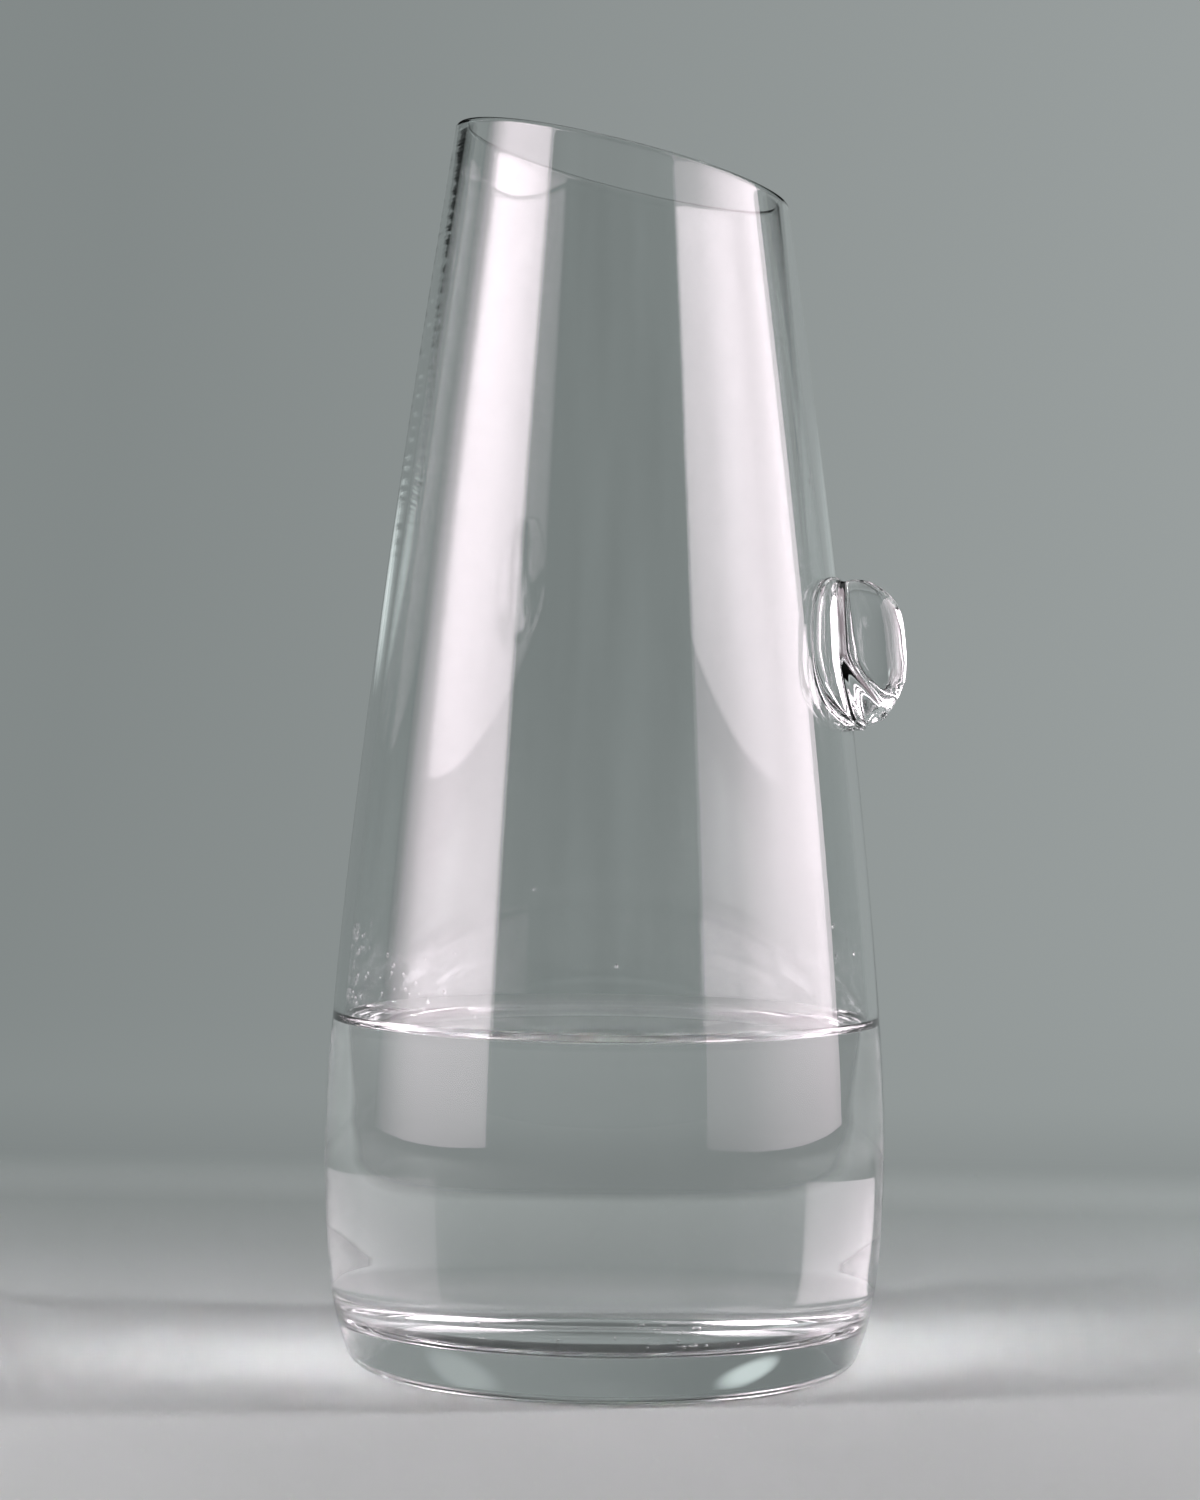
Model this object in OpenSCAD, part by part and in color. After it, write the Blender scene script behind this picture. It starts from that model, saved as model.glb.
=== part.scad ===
// Hand-blown glass water carafe with a slanted mouth and a thumb knob on its side.
// The origin is on the vessel's axis at the level that it stands on, +Z is up, and
// +X points to the low side of the mouth. Lengths are in millimetres.

/* [Vessel outline] */
// Radius at the widest point of the belly
belly_r = 60; // [57:0.5:75]
// Height of the widest point of the belly
belly_z = 46.5; // [38:0.5:60]
// Outer radius of the neck where the slanted mouth crosses the axis
mouth_r = 35.8; // [28:0.2:44]
// Height at which the slanted mouth crosses the axis
mouth_z = 257.6; // [225:0.2:320]
// Slant of the mouth from the horizontal, in degrees
mouth_slant = 13.3; // [4:0.1:22]
// Lean of the straight neck from the vertical, in degrees
neck_lean = 8.4; // [5:0.1:10]
// Height of the straight part of the neck, measured down the axis from the mouth
neck_h = 32; // [26:0.5:45]

/* [Base] */
// Radius of the outer edge of the ring that the vessel stands on
foot_r = 50.7; // [44:0.1:54]
// Width of the flat ring that the vessel stands on
ring_w = 4.5; // [2:0.1:10]
// Radius of the rounded heel outside that ring
heel_r = 4.6; // [2:0.1:6]
// Lean of the outer wall where it leaves the heel, in degrees
heel_lean = 20; // [12:1:30]
// Height of the shallow hollow blown up into the underside
kick_h = 1.4; // [0.4:0.1:3]

/* [Glass] */
// Thickness of the wall, square to its surface
wall_t = 2.5; // [1.6:0.1:3.6]
// Thickness of the base, from the table to the inner floor
base_t = 10; // [6:0.5:16]
// Radius of the corner between the inner floor and the wall
corner_r = 9; // [4:0.5:14]
// Lean of the inner wall where it leaves that corner, in degrees
corner_lean = 8; // [4:1:14]

/* [Thumb knob] */
// Height of the knob's centre, where its axis meets the wall
knob_z = 152.2; // [120:0.2:190]
// Angle from the low side of the mouth round to the knob, in degrees
knob_turn = 12.5; // [-30:0.5:30]
// Roll of the knob on the wall, which brings its foot towards the right, in degrees
knob_roll = 10; // [-20:1:20]
// Height of the knob, along the wall
knob_h = 31.4; // [24:0.2:40]
// Distance from the wall to the outermost edge of the tab
knob_out = 13.8; // [10:0.1:18]
// Width of the pad that is fused to the wall
pad_w = 35.6; // [26:0.2:42]
// Thickness of the pad
pad_t = 1.5; // [1:0.1:2.4]
// Extra thickness at the pad's foot, where the hot glass sagged
pad_sag = 1.2; // [0:0.1:2]
// Thickness of the tab that was pinched out of the pad
tab_t = 11.2; // [8:0.1:14]
// How far the crease round the pinched face runs outwards at the foot
crease_run = 6.5; // [2:0.1:8]

/* [Water] */
// Height of the level water surface
water_z = 72.2; // [50:0.2:140]
// Rise of the water where it clings to the wall
meniscus_h = 2.8; // [1:0.1:4]
// Distance from the wall over which that rise falls to a third
meniscus_w = 2.2; // [1.2:0.1:4]
// Clearance between the water's skin and the glass
water_clearance = 0.05; // [0.02:0.01:0.2]

/* [Hidden] */

// How far a cutter or a blank runs past the face that it works on
overrun = 5;
// Height of the fire-polished band below the mouth, and how far it is set into the wall
lip_h = 6;
lip_lap = 1;
// The band's skin lies this far inside the wall's, so that the two join cleanly
lip_ease = 0.04;
// How far the knob's blank is sunk into the wall before it is cut to fit
knob_sink = 1.5;

// Shares of the rise between two stations that the outline's tangents reach along
heel_reach_share = 0.14;
belly_down_share = 0.69;
belly_up_share = 0.25;
neck_reach_share = 0.08;
corner_reach_share = 0.2;
belly_inner_share = 0.5;
// Share of the knob's half height and the pad's half width that its seat on the wall takes
seat_share = 0.99;
// Stations of the pad, from its seat inwards: shares of its thickness and of its half width
pad_shares = [
    [0, seat_share], [0.33, 1], [0.73, 0.99], [1, 0.95], [1.03, 0.888], [0.97, 0.787], [0.9, 0.646], [0.93, 0.517],
    [1.03, 0.461]
];
// Stations of the tab, from its root to its tip: shares of its reach beyond the pad, of its
// half thickness, and of the crease's run that the station takes
tab_shares = [
    [0.02, 1.39, 0.45], [0.053, 1.285, 0.9], [0.114, 1.107, 1], [0.244, 1.07, 0.95], [0.488, 1.02, 0.7],
    [0.65, 0.946, 0.5], [0.772, 0.82, 0.33], [0.87, 0.66, 0.18], [0.943, 0.446, 0.08], [0.984, 0.214, 0.02],
    [1, 0, 0]
];
// The knob's outline from its side: share of its half height at a share of its reach
side_shares = [
    [0, seat_share], [0.087, 1], [0.174, 0.985], [0.275, 1], [0.45, 0.975], [0.572, 0.926], [0.754, 0.8],
    [0.862, 0.69], [0.92, 0.61], [0.971, 0.455], [0.993, 0.22], [1, 0]
];
// How square the knob's outline is from the front, where 2 is an ellipse
square_power = 2.8;

// Steps along each part of an outline, round the lip and round the knob
arc_steps = 8;
curve_steps = 18;
kick_steps = 10;
lip_segments = 96;
lip_steps = 8;
knob_segments = 64;
knob_steps = 2;
side_steps = 4;
meniscus_steps = 10;
turn_segments = 180;

neck_z = mouth_z - neck_h;
neck_fall = tan(neck_lean);
mouth_fall = tan(mouth_slant);
wall_across = wall_t / cos(neck_lean);
blank_z = mouth_z + mouth_fall * mouth_r + overrun;
ring_in_r = foot_r - ring_w;
edge_z = water_z + meniscus_h;
cut_size = 4 * belly_r;

glass_colour = [0.86, 0.91, 0.90, 0.45];
knob_colour = [0.80, 0.87, 0.86, 0.70];
water_colour = [0.74, 0.84, 0.86, 0.60];

function bezier(p, t) =
    pow(1 - t, 3) * p[0] + 3 * pow(1 - t, 2) * t * p[1] + 3 * (1 - t) * t * t * p[2] + t * t * t * p[3];

// Points of a Bezier curve after its first point, which the stretch before it ends on
function curve(p, steps) = [for (i = [1:steps]) bezier(p, i / steps)];

function arc(centre, r, from, to, steps) = [
    for (i = [0:steps])
        let (a = from + (to - from) * i / steps)
        centre + r * [cos(a), sin(a)]
];

// Radius at a height, read from an outline that rises with every point
function radius_at(outline, z) = lookup(z, [for (p = outline) [p[1], p[0]]]);

function neck_r(z) = mouth_r + neck_fall * (mouth_z - z);

// Upper outline from the belly through the shoulder to the top of the blank, set in by a thickness
function upper_curve(inset, across) =
    concat(
        curve([
            [belly_r - inset, belly_z],
            [belly_r - inset, belly_z + belly_up_share * (neck_z - belly_z)],
            [neck_r(neck_z - neck_reach_share * (neck_z - belly_z)) - across,
                neck_z - neck_reach_share * (neck_z - belly_z)],
            [neck_r(neck_z) - across, neck_z]
        ], curve_steps),
        [[neck_r(blank_z) - across, blank_z]]
    );

// Outer outline, from the edge of the standing ring up to the top of the blank
heel_centre = [foot_r, heel_r];
heel_top = heel_centre + heel_r * [cos(heel_lean), -sin(heel_lean)];
outer_curve = concat(
    arc(heel_centre, heel_r, -90, -heel_lean, arc_steps),
    curve([
        heel_top,
        heel_top + heel_reach_share * (belly_z - heel_top[1]) * [tan(heel_lean), 1],
        [belly_r, belly_z - belly_down_share * (belly_z - heel_top[1])],
        [belly_r, belly_z]
    ], curve_steps),
    upper_curve(0, 0)
);

// Inner outline, from the edge of the flat floor up to the top of the blank
function inner_curve(wall, floor_z) =
    let (
        top_z = floor_z + corner_r * (1 - sin(corner_lean)),
        top = [radius_at(outer_curve, top_z) - wall / cos(corner_lean), top_z],
        centre = top - corner_r * [cos(corner_lean), -sin(corner_lean)]
    )
    concat(
        arc(centre, corner_r, -90, -corner_lean, arc_steps),
        curve([
            top,
            top + corner_reach_share * (belly_z - top_z) * [tan(corner_lean), 1],
            [belly_r - wall, belly_z - belly_inner_share * (belly_z - top_z)],
            [belly_r - wall, belly_z]
        ], curve_steps),
        upper_curve(wall, wall / cos(neck_lean))
    );

// Underside of the base, from its centre out to the inner edge of the standing ring
kick_curve = [for (i = [0:kick_steps]) [ring_in_r * i / kick_steps, kick_h * (1 - pow(i / kick_steps, 2))]];

module vessel_blank() {
    rotate_extrude($fn = turn_segments)
        polygon(concat([[0, 0]], outer_curve, [[0, blank_z]]));
}

// Everything above a plane that slants with the mouth, a given distance below it
module above_mouth(drop) {
    translate([0, 0, mouth_z - drop])
        rotate([0, mouth_slant, 0])
            translate([-cut_size / 2, -cut_size / 2, 0])
                cube(cut_size);
}

// The point where a cone parallel to the neck meets a plane parallel to the mouth
function slant_point(r, drop, angle) =
    let (cone_r = (r + neck_fall * drop) / (1 - neck_fall * mouth_fall * cos(angle)))
    [cone_r, mouth_z - drop - mouth_fall * cone_r * cos(angle)];

// Section through the fire-polished lip at one angle round the mouth: down the outer
// wall, over a full round as thick as the wall, and down the inner wall
function lip_section(angle) =
    let (
        round_r = wall_t / 2 - lip_ease,
        centre = slant_point(mouth_r - wall_across / 2, wall_t / 2 / cos(mouth_slant), angle),
        foot_drop = lip_h + lip_lap
    )
    concat(
        [slant_point(mouth_r - lip_ease, foot_drop, angle)],
        [for (i = [0:lip_steps])
            let (a = 180 * i / lip_steps + neck_lean)
            centre + round_r * [cos(a), sin(a)]],
        [slant_point(mouth_r - wall_across + lip_ease, foot_drop, angle)]
    );

// The lip follows the slanted mouth, which no turned form can do, so its sections are lofted
module lip() {
    section_count = lip_steps + 3;
    points = [
        for (j = [0:lip_segments - 1])
            let (angle = 360 * j / lip_segments)
            for (p = lip_section(angle)) [p[0] * cos(angle), p[0] * sin(angle), p[1]]
    ];
    faces = [
        for (j = [0:lip_segments - 1], i = [0:section_count - 1])
            let (
                k = (j + 1) % lip_segments,
                n = (i + 1) % section_count
            )
            [j * section_count + i, j * section_count + n, k * section_count + n, k * section_count + i]
    ];
    polyhedron(points, faces, convexity = 4);
}

module carafe_body() {
    hollow = inner_curve(wall_t, base_t);
    color(glass_colour)
        union() {
            difference() {
                rotate_extrude($fn = turn_segments)
                    polygon(concat(
                        kick_curve,
                        outer_curve,
                        [for (i = [len(hollow) - 1:-1:0]) hollow[i]],
                        [[0, base_t]]
                    ));
                above_mouth(lip_h);
            }
            lip();
        }
}

// Stations of the knob from inside the wall to the tab's tip: distance out from the wall,
// half width, run of the crease there, and sag
knob_stations = concat(
    [[-knob_sink, seat_share * pad_w / 2, 0, 0]],
    [for (s = pad_shares) [s[0] * pad_t, s[1] * pad_w / 2, 0, min(s[0], 1) * pad_sag]],
    [for (s = tab_shares) [pad_t + s[0] * (knob_out - pad_t), s[1] * tab_t / 2, s[2] * crease_run, 0]]
);

// A smooth curve through four stations, at a share of the way between the middle two
function spline(a, b, c, d, t) =
    ((2 * b) + (c - a) * t + (2 * a - 5 * b + 4 * c - d) * t * t + (3 * b - a - 3 * c + d) * t * t * t) / 2;

// A smooth curve through all of a list of stations
function smooth(stations, steps) =
    let (last = len(stations) - 1)
    concat(
        [
            for (i = [0:last - 1], s = [0:steps - 1])
                spline(
                    stations[max(i - 1, 0)],
                    stations[i],
                    stations[i + 1],
                    stations[min(i + 2, last)],
                    s / steps
                )
        ],
        [stations[last]]
    );

knob_section = smooth(knob_stations, knob_steps);
side_curve = smooth(side_shares, side_steps);

function knob_half_height(out) = lookup(out / knob_out, side_curve) * knob_h / 2;

// Lean of the wall behind the knob, from two heights on the outer outline
knob_wall_r = radius_at(outer_curve, knob_z);
knob_foot_r = radius_at(outer_curve, knob_z - knob_h / 2);
knob_crown_r = radius_at(outer_curve, knob_z + knob_h / 2);
knob_lean = atan((knob_foot_r - knob_crown_r) / knob_h);

// The pad bends round the wall and the tab's rim is flat, so each point lies between the two forms
function knob_point(out, across, along) =
    let (
        side = across * cos(knob_roll) + along * sin(knob_roll),
        rise = along * cos(knob_roll) - across * sin(knob_roll),
        flatness = min(max((out - pad_t) / (knob_out - pad_t), 0), 1),
        height = knob_z + rise * cos(knob_lean) + out * sin(knob_lean),
        reach = knob_wall_r + out * cos(knob_lean) - rise * sin(knob_lean),
        turn = side / knob_wall_r * 180 / PI,
        bent = [reach * cos(turn), reach * sin(turn)],
        flat = [reach, side]
    )
    concat(bent + (flat - bent) * flatness, height);

// The point of a station at an angle round it. Below the middle, the crease runs outwards
// and the pad is thicker, and the outline follows them.
function station_point(station, a) =
    let (
        reach = pow(pow(abs(cos(a)), square_power) + pow(abs(sin(a)), square_power), -1 / square_power),
        side_out = station[0] + (sin(a) < 0 ? station[2] : 0),
        along = knob_half_height(side_out) * reach * sin(a),
        drop = min(max(-along / (knob_h / 2), 0), 1),
        fall = drop * drop * (3 - 2 * drop)
    )
    knob_point(station[0] + (station[2] + station[3]) * fall, station[1] * reach * cos(a), along);

module knob_blank() {
    ring_count = len(knob_section);
    points = concat(
        [knob_point(-knob_sink, 0, 0)],
        [
            for (i = [0:ring_count - 2], j = [0:knob_segments - 1])
                station_point(knob_section[i], 360 * j / knob_segments)
        ],
        [station_point(knob_section[ring_count - 1], 0)]
    );
    last = len(points) - 1;
    last_ring = 1 + (ring_count - 2) * knob_segments;
    faces = concat(
        [for (j = [0:knob_segments - 1]) [0, 1 + (j + 1) % knob_segments, 1 + j]],
        [
            for (i = [0:ring_count - 3], j = [0:knob_segments - 1])
                let (
                    k = (j + 1) % knob_segments,
                    low = 1 + i * knob_segments,
                    high = low + knob_segments
                )
                [low + j, low + k, high + k, high + j]
        ],
        [for (j = [0:knob_segments - 1]) [last_ring + j, last_ring + (j + 1) % knob_segments, last]]
    );
    polyhedron(points, faces, convexity = 6);
}

module thumb_knob() {
    color(knob_colour)
        difference() {
            rotate([0, 0, -knob_turn])
                knob_blank();
            vessel_blank();
        }
}

module water() {
    skin = inner_curve(wall_t + water_clearance, base_t + water_clearance);
    edge_r = radius_at(skin, edge_z);
    reach = 4 * meniscus_w;
    color(water_colour)
        rotate_extrude($fn = turn_segments)
            polygon(concat(
                [[0, base_t + water_clearance]],
                [for (p = skin) if (p[1] < edge_z) p],
                [
                    for (i = [0:meniscus_steps])
                        let (
                            d = reach * pow(i / meniscus_steps, 2),
                            least = exp(-reach / meniscus_w),
                            rise = (exp(-d / meniscus_w) - least) / (1 - least)
                        )
                        [edge_r - d, water_z + meniscus_h * rise]
                ],
                [[0, water_z]]
            ));
}

carafe_body();
thumb_knob();
water();
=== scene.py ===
import math

import bpy
import numpy as np
from mathutils import Matrix, Vector


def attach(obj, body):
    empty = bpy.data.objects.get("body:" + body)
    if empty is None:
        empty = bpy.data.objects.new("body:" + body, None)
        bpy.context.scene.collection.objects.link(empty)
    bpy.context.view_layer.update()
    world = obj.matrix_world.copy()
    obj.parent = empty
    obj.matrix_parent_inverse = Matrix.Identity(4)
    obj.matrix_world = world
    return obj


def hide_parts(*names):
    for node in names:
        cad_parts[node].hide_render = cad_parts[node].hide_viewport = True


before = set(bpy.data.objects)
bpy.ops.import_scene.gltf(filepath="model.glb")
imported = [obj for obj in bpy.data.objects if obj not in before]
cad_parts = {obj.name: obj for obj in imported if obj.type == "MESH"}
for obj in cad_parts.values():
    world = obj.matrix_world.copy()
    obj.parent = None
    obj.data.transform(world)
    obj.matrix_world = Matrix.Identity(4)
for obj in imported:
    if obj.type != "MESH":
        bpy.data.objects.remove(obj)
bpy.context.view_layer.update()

MM = 0.001

# ---------------------------------------------------------------- sizes, in mm, as in part.scad
BELLY_R, BELLY_Z = 60.0, 46.5
MOUTH_R, MOUTH_Z = 35.8, 257.6
MOUTH_SLANT, NECK_LEAN = math.radians(13.3), math.radians(8.4)
NECK_H = 32.0
FOOT_R, RING_W = 50.7, 4.5
HEEL_R, HEEL_LEAN = 4.6, math.radians(20)
KICK_H = 1.4
WALL_T, BASE_T = 2.5, 10.0
CORNER_R, CORNER_LEAN = 9.0, math.radians(8)
KNOB_Z, KNOB_TURN = 152.2, math.radians(12.5)
KNOB_H, KNOB_OUT = 31.4, 13.8
PAD_W, PAD_T, PAD_SAG = 35.6, 1.5, 1.2
TAB_T, CREASE_RUN = 11.2, 6.5
KNOB_ROLL = math.radians(10)
WATER_Z, MENISCUS_H, MENISCUS_W = 72.2, 2.8, 2.2
CLEARANCE = 0.05

NECK_Z = MOUTH_Z - NECK_H
NECK_FALL, MOUTH_FALL = math.tan(NECK_LEAN), math.tan(MOUTH_SLANT)
WALL_ACROSS = WALL_T / math.cos(NECK_LEAN)
OVERRUN = 5
BLANK_Z = MOUTH_Z + MOUTH_FALL * MOUTH_R + OVERRUN
EDGE_Z = WATER_Z + MENISCUS_H
# Shares of the rise between two stations that the outline's tangents reach along
HEEL_REACH, BELLY_REACH_DOWN, BELLY_REACH_UP, NECK_REACH = 0.14, 0.69, 0.25, 0.08
CORNER_REACH, INNER_REACH = 0.2, 0.5
# The fire-polished lip's skin lies this far inside the wall's
LIP_EASE = 0.04
# Steps round the heel and the inner corner, shares along each curve, and vertices round the axis
CORNER_STEPS = 60
CURVE_SHARES = np.linspace(0, 1, 401)[1:]
TURN = 256


def bezier(p, t):
    p = np.asarray(p, float)
    t = np.asarray(t, float)[:, None]
    return (1 - t) ** 3 * p[0] + 3 * (1 - t) ** 2 * t * p[1] + 3 * (1 - t) * t * t * p[2] + t ** 3 * p[3]


def arc(centre, r, start, end, steps):
    a = np.linspace(start, end, steps + 1)
    return np.stack([centre[0] + r * np.cos(a), centre[1] + r * np.sin(a)], 1)


def neck_r(z):
    return MOUTH_R + NECK_FALL * (MOUTH_Z - z)


def upper_curve(inset, across):
    z = NECK_Z - NECK_REACH * (NECK_Z - BELLY_Z)
    p = [
        (BELLY_R - inset, BELLY_Z),
        (BELLY_R - inset, BELLY_Z + BELLY_REACH_UP * (NECK_Z - BELLY_Z)),
        (neck_r(z) - across, z),
        (neck_r(NECK_Z) - across, NECK_Z),
    ]
    return np.vstack([bezier(p, CURVE_SHARES), [(neck_r(BLANK_Z) - across, BLANK_Z)]])


def outer_curve():
    top = np.array([FOOT_R + HEEL_R * math.cos(HEEL_LEAN), HEEL_R - HEEL_R * math.sin(HEEL_LEAN)])
    rise = BELLY_Z - top[1]
    p = [
        top,
        top + HEEL_REACH * rise * np.array([math.tan(HEEL_LEAN), 1]),
        (BELLY_R, BELLY_Z - BELLY_REACH_DOWN * rise),
        (BELLY_R, BELLY_Z),
    ]
    return np.vstack([
        arc((FOOT_R, HEEL_R), HEEL_R, -math.pi / 2, -HEEL_LEAN, CORNER_STEPS),
        bezier(p, CURVE_SHARES),
        upper_curve(0, 0),
    ])


OUTER = outer_curve()


def outer_r(z):
    return np.interp(z, OUTER[:, 1], OUTER[:, 0])


def inner_curve(wall, floor_z):
    top_z = floor_z + CORNER_R * (1 - math.sin(CORNER_LEAN))
    top = np.array([outer_r(top_z) - wall / math.cos(CORNER_LEAN), top_z])
    centre = top - CORNER_R * np.array([math.cos(CORNER_LEAN), -math.sin(CORNER_LEAN)])
    rise = BELLY_Z - top_z
    p = [
        top,
        top + CORNER_REACH * rise * np.array([math.tan(CORNER_LEAN), 1]),
        (BELLY_R - wall, BELLY_Z - INNER_REACH * rise),
        (BELLY_R - wall, BELLY_Z),
    ]
    return np.vstack([
        arc(centre, CORNER_R, -math.pi / 2, -CORNER_LEAN, CORNER_STEPS),
        bezier(p, CURVE_SHARES),
        upper_curve(wall, wall / math.cos(NECK_LEAN)),
    ])


INNER = inner_curve(WALL_T, BASE_T)


def inner_r(z):
    return np.interp(z, INNER[:, 1], INNER[:, 0])


def slant_point(r, drop, angle):
    cone_r = (r + NECK_FALL * drop) / (1 - NECK_FALL * MOUTH_FALL * np.cos(angle))
    return cone_r, MOUTH_Z - drop - MOUTH_FALL * cone_r * np.cos(angle)


# ---------------------------------------------------------------- meshes
def new_object(name, verts, faces, materials, face_material=None, smooth=True):
    mesh = bpy.data.meshes.new(name)
    mesh.from_pydata([tuple(v) for v in verts], [], [tuple(f) for f in faces])
    for m in materials:
        mesh.materials.append(m)
    if face_material is not None:
        mesh.polygons.foreach_set("material_index", np.asarray(face_material, np.int32))
    mesh.polygons.foreach_set("use_smooth", np.full(len(mesh.polygons), smooth, bool))
    mesh.update()
    obj = bpy.data.objects.new(name, mesh)
    bpy.context.scene.collection.objects.link(obj)
    return obj


class Lathe:
    """Rings of one vertex count, joined into a closed skin. Each ring is (r, z), numbers or arrays over the turn."""

    def __init__(self, turn=TURN):
        self.angle = np.arange(turn) * 2 * math.pi / turn
        self.turn = turn
        self.verts, self.faces, self.slots = [], [], []
        self.last = None

    def ring(self, r, z, slot=0):
        start = len(self.verts)
        r = np.broadcast_to(np.asarray(r, float), self.angle.shape)
        z = np.broadcast_to(np.asarray(z, float), self.angle.shape)
        for a, rr, zz in zip(self.angle, r, z):
            self.verts.append((rr * math.cos(a) * MM, rr * math.sin(a) * MM, zz * MM))
        if self.last is not None:
            n = self.turn
            for j in range(n):
                k = (j + 1) % n
                if self.last[0] == "pole":
                    self.faces.append((self.last[1], start + k, start + j))
                else:
                    self.faces.append((self.last[1] + j, self.last[1] + k, start + k, start + j))
                self.slots.append(slot)
        self.last = ("ring", start)

    def pole(self, z, slot=0):
        start = len(self.verts)
        self.verts.append((0, 0, z * MM))
        if self.last is not None:
            n = self.turn
            for j in range(n):
                self.faces.append((self.last[1] + j, self.last[1] + (j + 1) % n, start))
                self.slots.append(slot)
        self.last = ("pole", start)


# ---------------------------------------------------------------- materials
def principled(name):
    mat = bpy.data.materials.new(name)
    mat.use_nodes = True
    return mat, mat.node_tree.nodes, mat.node_tree.links, mat.node_tree.nodes["Principled BSDF"]


def times(nodes, links, a, b, operation="MULTIPLY"):
    node = nodes.new("ShaderNodeMath")
    node.operation = operation
    for i, value in enumerate((a, b)):
        if isinstance(value, (int, float)):
            node.inputs[i].default_value = value
        else:
            links.new(value, node.inputs[i])
    return node.outputs[0]


def choose(nodes, links, factor, a, b):
    """Colour a where factor is 0, and b where it is 1. Each is a colour or a socket."""
    mix = nodes.new("ShaderNodeMix")
    mix.data_type = "RGBA"
    links.new(factor, mix.inputs["Factor"])
    for key, value in (("A", a), ("B", b)):
        if hasattr(value, "links"):
            links.new(value, mix.inputs[key])
        else:
            mix.inputs[key].default_value = value
    return mix.outputs["Result"]


def ranged(nodes, links, value, low, high, to_low=0.0, to_high=1.0, curve="SMOOTHSTEP"):
    """to_low where value is low, to_high where it is high, and held past either."""
    node = nodes.new("ShaderNodeMapRange")
    node.interpolation_type = curve
    for key, setting in (("From Min", low), ("From Max", high), ("To Min", to_low), ("To Max", to_high)):
        node.inputs[key].default_value = setting
    links.new(value, node.inputs["Value"])
    return node.outputs["Result"]


def place_share(nodes, links, place, low, high, axis="Z"):
    """0 at low and 1 at high, in metres along an axis of the object."""
    split = nodes.new("ShaderNodeSeparateXYZ")
    links.new(place.outputs["Object"], split.inputs[0])
    return ranged(nodes, links, split.outputs[axis], low, high)


# A clearer tint for the wall beside the water: painted light, which makes what shows through the water lighter
PAINTED_LIGHT_WATER_SIDE_TINT = (0.978, 0.99, 0.986)
# Heights in metres over which the base's partly painted shade ends, and over which the painted light of the clearer
# tint beside the water does
BASE_BAND, WATER_SIDE_BAND = (0.009, 0.013), (0.0712, 0.0722)


def glass(name, ior, colour, waves=(), colour_spread=0.0, streaks=(18, 18), base_tone_and_painted_shade=None):
    """Clear glass or water. waves are (scale across, scale along z, height in mm, only at the mouth's left) of noise in
    the surface, and streaks the scales of its faint tint. base_tone_and_painted_shade is the darker tint of the thick
    base: partly the glass's own tone and partly painted shade. Above it, as far up as the water, the wall is tinted
    clearest: painted light, which makes what shows through the water lighter."""
    mat, nodes, links, shader = principled(name)
    shader.inputs["Transmission Weight"].default_value = 1.0
    shader.inputs["IOR"].default_value = ior
    shader.inputs["Roughness"].default_value = 0.0
    place = nodes.new("ShaderNodeTexCoord")

    def noise(across, along, detail):
        spread = nodes.new("ShaderNodeMapping")
        spread.inputs["Scale"].default_value = (across, across, along)
        made = nodes.new("ShaderNodeTexNoise")
        made.inputs["Scale"].default_value = 1
        made.inputs["Detail"].default_value = detail
        links.new(place.outputs["Object"], spread.inputs["Vector"])
        links.new(spread.outputs["Vector"], made.inputs["Vector"])
        return made.outputs["Fac"]

    ramp = nodes.new("ShaderNodeValToRGB")
    ramp.color_ramp.elements[0].position = 0.3
    ramp.color_ramp.elements[1].position = 0.7
    ramp.color_ramp.elements[0].color = (*[c * (1 - colour_spread) for c in colour], 1)
    ramp.color_ramp.elements[1].color = (*colour, 1)
    links.new(noise(*streaks, 2), ramp.inputs["Fac"])
    tint = ramp.outputs["Color"]
    if base_tone_and_painted_shade is not None:
        # painted light and shade: below the water the wall is tinted clearer, and in the thick base darker (partly its
        # own tone)
        past_water = place_share(nodes, links, place, *WATER_SIDE_BAND)
        tint = choose(nodes, links, past_water, (*PAINTED_LIGHT_WATER_SIDE_TINT, 1), tint)
        past_base = place_share(nodes, links, place, *BASE_BAND)
        tint = choose(nodes, links, past_base, (*base_tone_and_painted_shade, 1), tint)
    links.new(tint, shader.inputs["Base Color"])
    normal = None
    for across, along, height, at_left in waves:
        bump = nodes.new("ShaderNodeBump")
        bump.inputs["Strength"].default_value = 1
        bump.inputs["Distance"].default_value = height * MM
        links.new(noise(across, along, 1), bump.inputs["Height"])
        if at_left:
            up = place_share(nodes, links, place, 0.15, 0.21)
            left = place_share(nodes, links, place, -0.026, -0.031, "X")
            links.new(times(nodes, links, up, left), bump.inputs["Strength"])
        if normal is not None:
            links.new(normal, bump.inputs["Normal"])
        normal = bump.outputs["Normal"]
    if normal is not None:
        links.new(normal, shader.inputs["Normal"])
    return mat


def see_through(name):
    mat = bpy.data.materials.new(name)
    mat.use_nodes = True
    nodes, links = mat.node_tree.nodes, mat.node_tree.links
    nodes.remove(nodes["Principled BSDF"])
    clear = nodes.new("ShaderNodeBsdfTransparent")
    links.new(clear.outputs["BSDF"], nodes["Material Output"].inputs["Surface"])
    return mat


GLASS_TINT = (0.92, 0.937, 0.932)
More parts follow.
